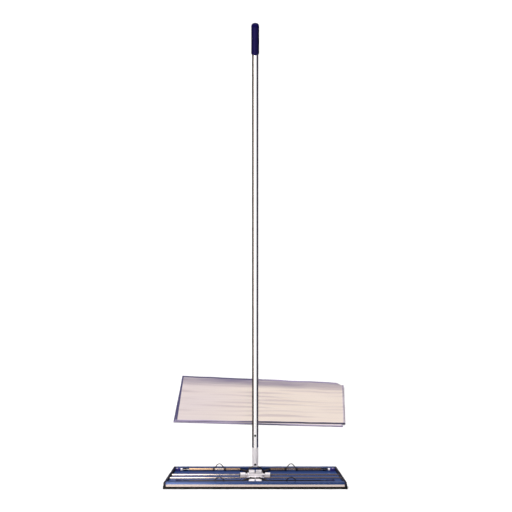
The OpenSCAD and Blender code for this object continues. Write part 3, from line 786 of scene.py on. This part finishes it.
def crease_height(side, back, seed):
    """The packing creases at a share across the cloth and a share towards its back, from 0 to about 1."""
    height = 0.18 * noise.noise((2.5 * side, 34 * back, seed))
    for k in range(CREASES):
        middle = 0.1 + 0.85 * ((k + 0.5) / CREASES) ** 0.85 + 0.03 * noise.noise((seed, 3.1 * k, 0.5))
        slant = 0.05 * side * noise.noise((2.2 * k, seed, 4.4))
        sway = 0.03 * noise.noise((1.8 * side, 1.7 * k, seed))
        wide = 0.019 + 0.008 * noise.noise((k * 1.3, 2.7, seed))
        size = 0.4 + 1.5 * noise.noise((1.2 * side + 3.7 * k, 0.4, seed))
        off = (back - middle - slant - sway) / wide
        height += max(0.0, size) * math.exp(-off * off)
    return max(height, 0.0)


def turn_in_corner(spot):
    """Folds what lies past the clipped corner back over the corner's line, and says how far it was past."""
    line = Vector((SHEET_WIDE / 2 - RIGHT_IN - CORNER, RIGHT_DEEP))
    past = max((spot - line).dot(CORNER_WAY), 0.0)
    return spot - 2 * past * CORNER_WAY, past


def fold_point(across, along, seed, lift):
    """Where a point of the flat sheet goes, from shares of -1 to 1 across it and along it."""
    walk = abs(along) * HALF_LONG
    turn = min(walk / FOLD_ROUND, math.pi / 2)
    back = max(walk - FOLD_ROUND * math.pi / 2, 0.0) / HALF_LONG
    side = math.sin(turn) * (1 if along > 0 else -1)
    left = Vector((LEFT_IN * back - SHEET_WIDE / 2, LEFT_DEEP * back))
    right = Vector((SHEET_WIDE / 2 - RIGHT_IN * back, RIGHT_DEEP * back))
    spot = left.lerp(right, (across + 1) / 2)
    waver = EDGE_WAVER * back * noise.noise((7 * across, 3 * along, seed))
    spot.y += FOLD_ROUND * (1 - math.cos(turn)) + waver
    spot, past = turn_in_corner(spot)
    tucked = min(past / TUCK_WITHIN, 1.0) * TUCK_DOWN * side
    flat_end = min((1 - back) / FLAT_END, 1.0)
    ripple = max(0.5 + noise.noise((4 * across, 3 * back, seed + 2)), 0.0)
    raised = CREASE_HIGH * crease_height(across, back, seed) * flat_end + RIPPLE_HIGH * ripple
    above = 0.5 + 0.5 * side
    return Vector((spot.x, spot.y, FOLD_ROUND * (1 + side) + lift * above * raised - tucked))


print("crease in the middle:", round(1000 * CREASE_HIGH * crease_height(0.0, 0.5, 3), 2), "mm")

# %% [markdown]
# Both cloths lie on the floor on the same spot, the lower one slipped a little to the left and forward.
# Solidify gives each sheet its real thickness, double along the binding.

# %% Lay the cloths down
CLOTH_THICK = 0.0007
BINDING_THICK = 0.0014
GRID_ACROSS = 160
GRID_ALONG = 240
BESIDE = 0.02
CREASE_SHADE_GAIN = 1.4
CLOTH_PLACE = Matrix.Translation((0.0166, 0.432, 0)) @ Matrix.Rotation(math.radians(-2.4), 4, "Z")
SLIP = Matrix.Translation((-0.007, -0.009, 0)) @ Matrix.Rotation(math.radians(-1.2), 4, "Z")


def lay_cloth(name, node, fabric, place, bottom, seed, lift):
    """A folded cloth at a place and height. The seed picks its creases and lift is the share of them."""
    bpy.ops.object.select_all(action="DESELECT")
    bpy.ops.mesh.primitive_grid_add(x_subdivisions=GRID_ACROSS, y_subdivisions=GRID_ALONG, size=2)
    cloth = bpy.context.object
    cloth.name = name
    cloth.data.uv_layers[0].name = "unfolded"
    binding = cloth.vertex_groups.new(name="binding")
    crease_shade = []
    for vertex in cloth.data.vertices:
        across, along = vertex.co.x, vertex.co.y
        from_side = (1 - abs(across)) * SHEET_WIDE / 2
        from_end = (1 - abs(along)) * SHEET_LONG / 2
        if from_side < SIDE_BINDING or from_end < END_BINDING:
            binding.add([vertex.index], 1.0, "REPLACE")
        before_it, past_it = [crease_height(across, abs(along) + off, seed) for off in (-BESIDE, BESIDE)]
        # the share of painted shade that this point takes on one side of a crease
        crease_shade.append(min(max(CREASE_SHADE_GAIN * (past_it - before_it), 0.0), 1.0))
        vertex.co = fold_point(across, along, seed, lift)
    cloth.data.attributes.new("crease", "FLOAT", "POINT").data.foreach_set("value", crease_shade)
    cloth.data.transform(Matrix.Translation((0, 0, bottom + BINDING_THICK / 2)) @ place)
    thick = cloth.modifiers.new("thickness", "SOLIDIFY")
    thick.thickness = BINDING_THICK
    thick.offset = 0
    thick.vertex_group = "binding"
    thick.thickness_vertex_group = CLOTH_THICK / BINDING_THICK
    bpy.ops.object.modifier_apply(modifier="thickness")
    bpy.ops.object.shade_smooth()
    cloth.data.materials.append(finishes[fabric])
    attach(cloth, "cloth_pack")
    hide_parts(node)
    print(name, len(cloth.data.polygons), "faces")


lay_cloth("under_dust_cloth", "lower_cloth", "under_cloth", place=CLOTH_PLACE @ SLIP, bottom=0.0001,
          seed=7, lift=0.35)
lay_cloth("cream_dust_cloth", "upper_cloth", "cream_cloth", place=CLOTH_PLACE, bottom=0.0034,
          seed=3, lift=1.0)
